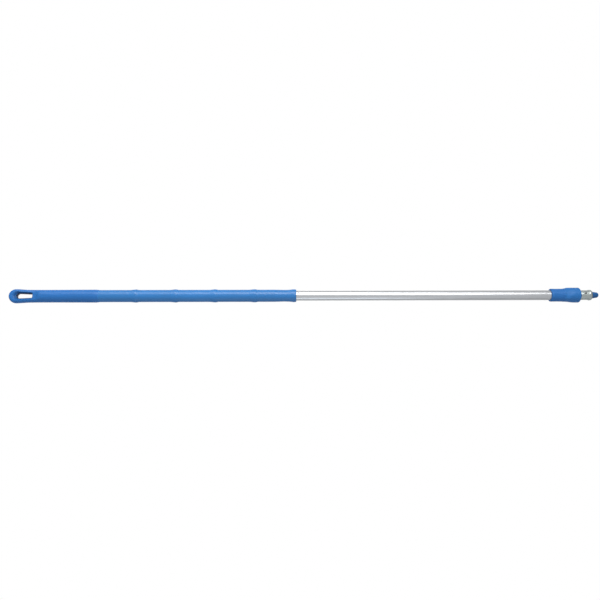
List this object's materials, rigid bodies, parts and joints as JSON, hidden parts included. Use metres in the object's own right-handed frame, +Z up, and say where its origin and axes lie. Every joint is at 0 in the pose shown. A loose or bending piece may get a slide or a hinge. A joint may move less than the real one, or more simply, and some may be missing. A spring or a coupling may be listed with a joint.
{
  "type": "boat hook pole",
  "caption": "Telescopic boat hook pole with a hanging eye, ribbed grip, twist-lock collar and a snap-button fitting for a head.",
  "frame": {"origin": "on the pole's axis, at the middle of the collapsed pole", "axes": "+X along the pole towards the head fitting, +Z up along the hanging eye's hole, +Y to the side"},
  "size_m": [1.575, 0.0398, 0.0398],
  "materials": {
    "satin_aluminium": "satin anodised, drawn along the tube",
    "turned_aluminium": "turned, fine rings round the axis",
    "handle_blue": "soft-touch moulding, fine spark texture",
    "sleeve_blue": "matte soft rubber, fine grain",
    "collar_blue": "matte moulding",
    "collar_soft_blue": "matte soft rubber",
    "nose_navy": "smooth moulding",
    "white_bearing_plastic": "smooth bearing plastic",
    "black_plastic": "moulded",
    "black_rubber": "matte",
    "steel": "cold drawn",
    "dark_steel": "dark passivated"
  },
  "bodies": {
    "handle": {"outer_tube": "satin_aluminium", "handle_end": "handle_blue", "grip_sleeve": "sleeve_blue", "butt_plug": "black_plastic", "front_guide": "white_bearing_plastic", "lock_body": "turned_aluminium", "lock_pins": "steel", "stop_ring": "steel", "collet": "white_bearing_plastic"},
    "pressure_ring": {"pressure_ring": "black_plastic"},
    "collar": {"twist_collar": "collar_blue", "collar_cap": "collar_blue", "wiper_seal": "black_rubber", "collar_grip": "collar_soft_blue"},
    "glide_ring": {"glide_ring": "white_bearing_plastic"},
    "inner_section": {"inner_tube": "satin_aluminium", "rear_guide": "white_bearing_plastic", "rear_guide_pins": "steel", "tip_ferrule": "turned_aluminium", "nose_plug": "nose_navy", "ferrule_pin": "steel", "button_spring": "steel"},
    "button": {"snap_button": "dark_steel"}
  },
  "joints": [
    {"name": "lock_advance", "type": "slide", "parent": "handle", "child": "pressure_ring", "axis": [1, 0, 0], "range_m": [0, 0.00101]},
    {"name": "collar_twist", "type": "hinge", "parent": "pressure_ring", "child": "collar", "pos_m": [0.682, 0, 0], "axis": [1, 0, 0], "range_deg": [0, 120]},
    {"name": "telescope", "type": "slide", "parent": "handle", "child": "glide_ring", "axis": [1, 0, 0], "range_m": [0, 1.2048]},
    {"name": "inner_spin", "type": "hinge", "parent": "glide_ring", "child": "inner_section", "pos_m": [-0.5992, 0, 0], "axis": [1, 0, 0], "continuous": true},
    {"name": "button_press", "type": "slide", "parent": "inner_section", "child": "button", "axis": [0, -0.2181, -0.9759], "range_m": [0, 0.0028], "stiffness_N_per_m": 3000, "deforming": ["button_spring"]}
  ],
  "couplings": [
    {"joint": "lock_advance", "follows": "collar_twist", "m_per_rad": 0.00047746}
  ]
}
